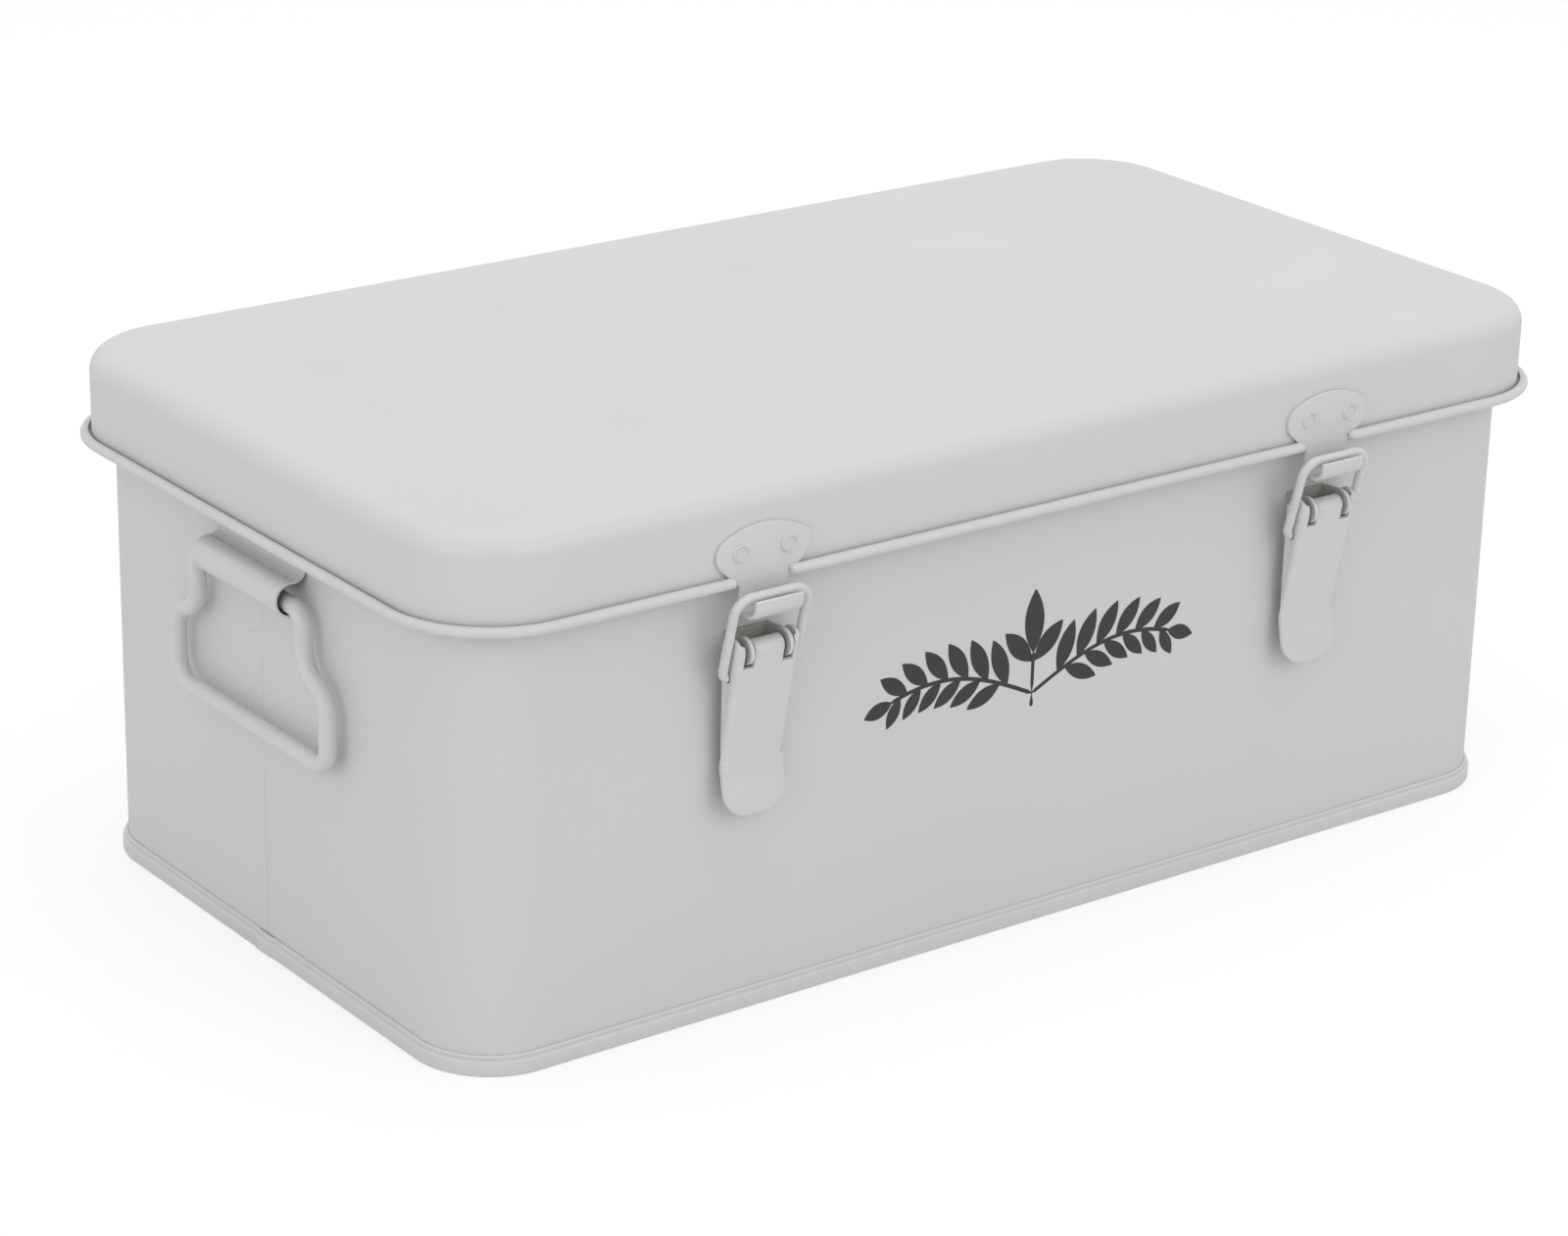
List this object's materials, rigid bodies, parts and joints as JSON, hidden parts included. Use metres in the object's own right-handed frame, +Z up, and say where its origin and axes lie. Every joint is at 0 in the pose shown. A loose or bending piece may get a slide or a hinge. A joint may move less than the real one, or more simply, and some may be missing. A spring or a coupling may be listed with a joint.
{
  "type": "garden seed organizer box",
  "caption": "Coated steel storage tin with a hinged pan lid, draw latches on the front, drop handles on the ends and dividers inside for standing seed packets.",
  "frame": {"origin": "middle of the standing plane, under the middle of the body", "axes": "+X along the box's length, -Y towards the latches, +Z up"},
  "size_m": [0.3296, 0.1874, 0.1275],
  "materials": {
    "coat": "satin",
    "coat_inside": "satin",
    "steel": "satin"
  },
  "bodies": {
    "box": {"body_shell": "coat", "bottom_panel": "coat", "lengthwise_partition": "coat_inside", "cross_divider_1": "coat_inside", "cross_divider_2": "coat_inside", "cross_divider_3": "coat_inside", "left_latch_base": "coat_inside", "right_latch_base": "coat_inside", "latch_base_rivets": "steel", "left_latch_pin": "steel", "right_latch_pin": "steel", "left_handle_bracket": "coat", "right_handle_bracket": "coat", "handle_bracket_rivets": "coat", "left_hinge_box_leaf": "coat", "right_hinge_box_leaf": "coat", "hinge_box_rivets": "coat", "left_hinge_pin": "steel", "right_hinge_pin": "steel"},
    "lid": {"lid_shell": "coat", "left_latch_strike": "coat", "right_latch_strike": "coat", "strike_rivets": "coat", "left_hinge_lid_leaf": "coat", "right_hinge_lid_leaf": "coat", "hinge_lid_rivets": "coat"},
    "left_lever": {"left_latch_lever": "coat"},
    "right_lever": {"right_latch_lever": "coat"},
    "left_bail": {"left_latch_bail": "coat"},
    "right_bail": {"right_latch_bail": "coat"},
    "left_handle": {"left_end_handle": "coat"},
    "right_handle": {"right_end_handle": "coat"}
  },
  "joints": [
    {"name": "lid_hinge", "type": "hinge", "parent": "box", "child": "lid", "pos_m": [0, 0.0895, 0.1028], "axis": [-1, 0, 0], "range_deg": [0, 105]},
    {"name": "left_latch", "type": "hinge", "parent": "box", "child": "left_lever", "pos_m": [-0.08325, -0.0896, 0.0906], "axis": [-1, 0, 0], "range_deg": [0, 110]},
    {"name": "right_latch", "type": "hinge", "parent": "box", "child": "right_lever", "pos_m": [0.08325, -0.0896, 0.0906], "axis": [-1, 0, 0], "range_deg": [0, 110]},
    {"name": "left_bail_swing", "type": "hinge", "parent": "left_lever", "child": "left_bail", "pos_m": [-0.08325, -0.0875, 0.0842], "axis": [-1, 0, 0], "range_deg": [-81.4, 0]},
    {"name": "right_bail_swing", "type": "hinge", "parent": "right_lever", "child": "right_bail", "pos_m": [0.08325, -0.0875, 0.0842], "axis": [-1, 0, 0], "range_deg": [-81.4, 0]},
    {"name": "left_handle_drop", "type": "hinge", "parent": "box", "child": "left_handle", "pos_m": [-0.16065, 0, 0.0937], "axis": [0, 1, 0], "range_deg": [0, 140]},
    {"name": "right_handle_drop", "type": "hinge", "parent": "box", "child": "right_handle", "pos_m": [0.16065, 0, 0.0937], "axis": [0, -1, 0], "range_deg": [0, 140]}
  ],
  "couplings": [
    {"joint": "left_bail_swing", "follows": "left_latch", "ratio": -0.74},
    {"joint": "right_bail_swing", "follows": "right_latch", "ratio": -0.74}
  ]
}
